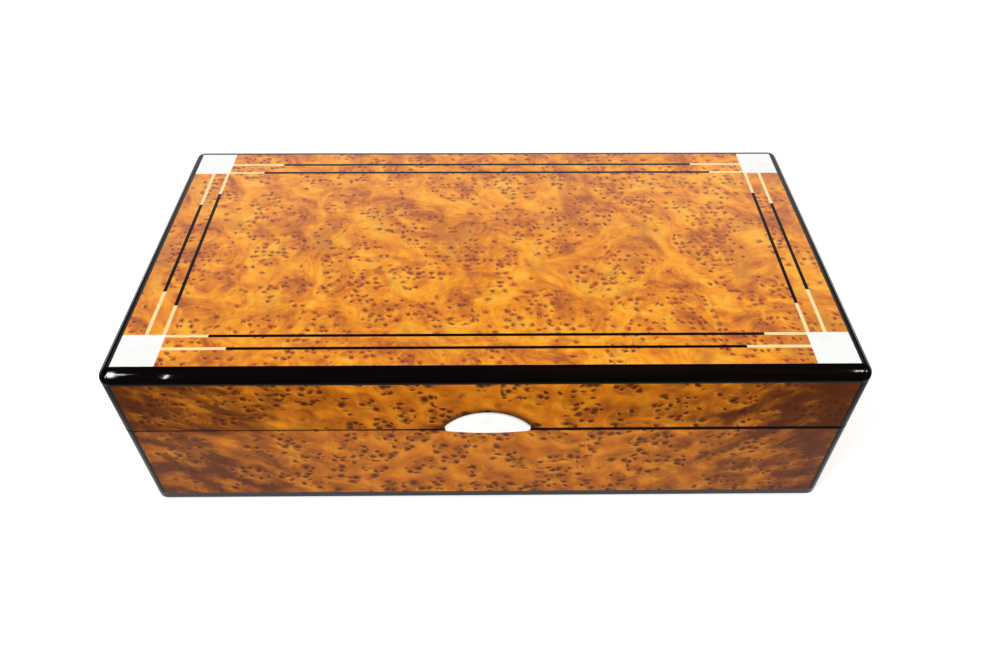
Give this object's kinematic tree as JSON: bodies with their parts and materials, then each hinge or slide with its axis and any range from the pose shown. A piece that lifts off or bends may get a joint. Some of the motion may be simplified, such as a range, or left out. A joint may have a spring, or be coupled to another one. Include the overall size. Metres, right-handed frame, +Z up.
{
  "type": "hinged wooden box",
  "caption": "Rectangular burl-veneered wooden box with ebony edging, an inlaid hinged lid and a half-moon thumb lift.",
  "frame": {"origin": "centre of the underside, in the plane the box rests on", "axes": "+X right along the long side, +Y to the hinged back, +Z up through the lid; the thumb lift faces -Y"},
  "size_m": [0.3, 0.1602, 0.084],
  "materials": {
    "burl_veneer": "figured burl under a deep gloss varnish",
    "core_wood": "plain walnut-coloured wood, satin",
    "ebony": "black wood, polished",
    "lemonwood": "pale yellow wood under gloss varnish",
    "bone": "white bone, polished",
    "brass": "polished, slightly dulled",
    "lining_felt": "dark red felt",
    "under_felt": "dark green felt"
  },
  "bodies": {
    "base": {"base_front_wall": "core_wood", "base_right_wall": "core_wood", "base_back_wall": "core_wood", "base_left_wall": "core_wood", "base_front_veneer": "burl_veneer", "base_right_veneer": "burl_veneer", "base_back_veneer": "burl_veneer", "base_left_veneer": "burl_veneer", "base_front_left_corner": "ebony", "base_front_right_corner": "ebony", "base_back_right_corner": "ebony", "base_back_left_corner": "ebony", "foot_front_edging": "ebony", "foot_right_edging": "ebony", "foot_back_edging": "ebony", "foot_left_edging": "ebony", "bottom_panel": "core_wood", "floor_lining": "lining_felt", "underside_felt": "under_felt", "left_lower_leaf": "brass", "right_lower_leaf": "brass", "left_hinge_pin": "brass", "right_hinge_pin": "brass", "base_hinge_screws": "brass"},
    "lid": {"lid_front_rail": "core_wood", "lid_right_rail": "core_wood", "lid_back_rail": "core_wood", "lid_left_rail": "core_wood", "lid_front_veneer": "burl_veneer", "lid_right_veneer": "burl_veneer", "lid_back_veneer": "burl_veneer", "lid_left_veneer": "burl_veneer", "lid_front_left_corner": "ebony", "lid_front_right_corner": "ebony", "lid_back_right_corner": "ebony", "lid_back_left_corner": "ebony", "top_front_edging": "ebony", "top_right_edging": "ebony", "top_back_edging": "ebony", "top_left_edging": "ebony", "lid_panel": "core_wood", "top_veneer": "burl_veneer", "front_left_square": "bone", "front_right_square": "bone", "back_right_square": "bone", "back_left_square": "bone", "long_ebony_strings": "ebony", "short_ebony_strings": "ebony", "long_lemonwood_strings": "lemonwood", "short_lemonwood_strings": "lemonwood", "thumb_lift": "bone", "left_upper_leaf": "brass", "right_upper_leaf": "brass", "lid_hinge_screws": "brass"}
  },
  "joints": [
    {"name": "lid_hinge", "type": "hinge", "parent": "base", "child": "lid", "pos_m": [0, 0.078, 0.0502], "axis": [-1, 0, 0], "range_deg": [0, 95]}
  ]
}
